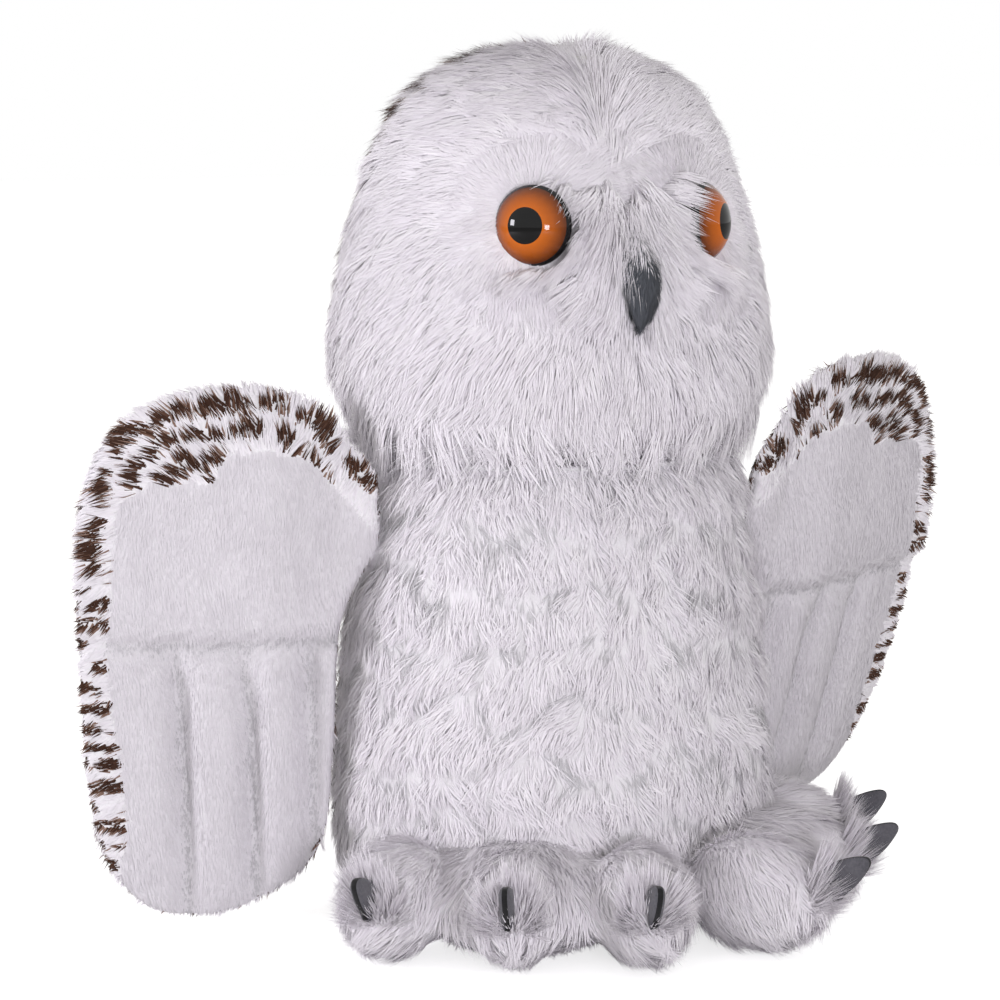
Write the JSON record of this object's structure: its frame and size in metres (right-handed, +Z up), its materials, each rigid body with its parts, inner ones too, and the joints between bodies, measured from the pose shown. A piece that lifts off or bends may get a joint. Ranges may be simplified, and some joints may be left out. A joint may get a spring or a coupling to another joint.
{
  "type": "plush owl",
  "caption": "Stuffed white plush owl that stands on its base and clawed feet, with spread sewn wings, domed orange eyes and a barred back.",
  "frame": {"origin": "on the floor, on the upright axis of the body and head", "axes": "+Z up, the owl faces -Y, and its own left is +X"},
  "size_m": [0.3057, 0.246, 0.2773],
  "materials": {
    "white_plush": "long soft white pile",
    "white_velour": "short dense white pile",
    "printed_plush": "long white pile printed with dark brown bars",
    "stuffing": "matte fibre",
    "eye": "glossy, orange iris with a black pupil",
    "washer": "satin",
    "beak_cloth": "short dark grey pile",
    "claw_cloth": "smooth dark grey cloth",
    "pouch_cloth": "plain weave"
  },
  "bodies": {
    "torso": {"belly_panel": "white_plush", "back_panel": "printed_plush", "base_panel": "white_plush", "body_stuffing": "stuffing", "pellet_pouch": "pouch_cloth", "head_face_panel": "white_plush", "head_back_panel": "printed_plush", "head_stuffing": "stuffing", "eye_left": "eye", "eye_right": "eye", "eye_washer_left": "washer", "eye_washer_right": "washer", "beak": "beak_cloth"},
    "wing_left": {"wing_left_print_panel": "printed_plush", "wing_left_velour_panel": "white_velour", "wing_left_stuffing": "stuffing"},
    "foot_left": {"foot_left_cover": "white_plush", "foot_left_stuffing": "stuffing", "claw_left_inner": "claw_cloth", "claw_left_middle": "claw_cloth", "claw_left_outer": "claw_cloth"},
    "wing_right": {"wing_right_print_panel": "printed_plush", "wing_right_velour_panel": "white_velour", "wing_right_stuffing": "stuffing"},
    "foot_right": {"foot_right_cover": "white_plush", "foot_right_stuffing": "stuffing", "claw_right_inner": "claw_cloth", "claw_right_middle": "claw_cloth", "claw_right_outer": "claw_cloth"},
    "tail": {"tail_print_panel": "printed_plush", "tail_white_panel": "white_plush", "tail_stuffing": "stuffing"}
  },
  "joints": [
    {"name": "wing_left_swing", "type": "hinge", "parent": "torso", "child": "wing_left", "pos_m": [0.0698, -0.015, 0.137], "axis": [0.0523, -0.292, 0.955], "range_deg": [-30, 8], "stiffness_Nm_per_rad": 0.2},
    {"name": "wing_right_swing", "type": "hinge", "parent": "torso", "child": "wing_right", "pos_m": [-0.0698, -0.015, 0.137], "axis": [-0.0349, -0.0349, 0.9988], "range_deg": [-8, 40], "stiffness_Nm_per_rad": 0.2},
    {"name": "foot_left_flex", "type": "hinge", "parent": "torso", "child": "foot_left", "pos_m": [0.042, -0.0476, 0.04], "axis": [-0.5446, -0.8387, 0], "range_deg": [0, 15], "stiffness_Nm_per_rad": 0.3},
    {"name": "foot_right_flex", "type": "hinge", "parent": "torso", "child": "foot_right", "pos_m": [-0.0326, -0.055, 0.04], "axis": [-0.8746, 0.4848, 0], "range_deg": [0, 15], "stiffness_Nm_per_rad": 0.3},
    {"name": "tail_lift", "type": "hinge", "parent": "torso", "child": "tail", "pos_m": [0, 0.068, 0.031], "axis": [1, 0, 0], "range_deg": [-2, 30], "stiffness_Nm_per_rad": 0.25}
  ]
}
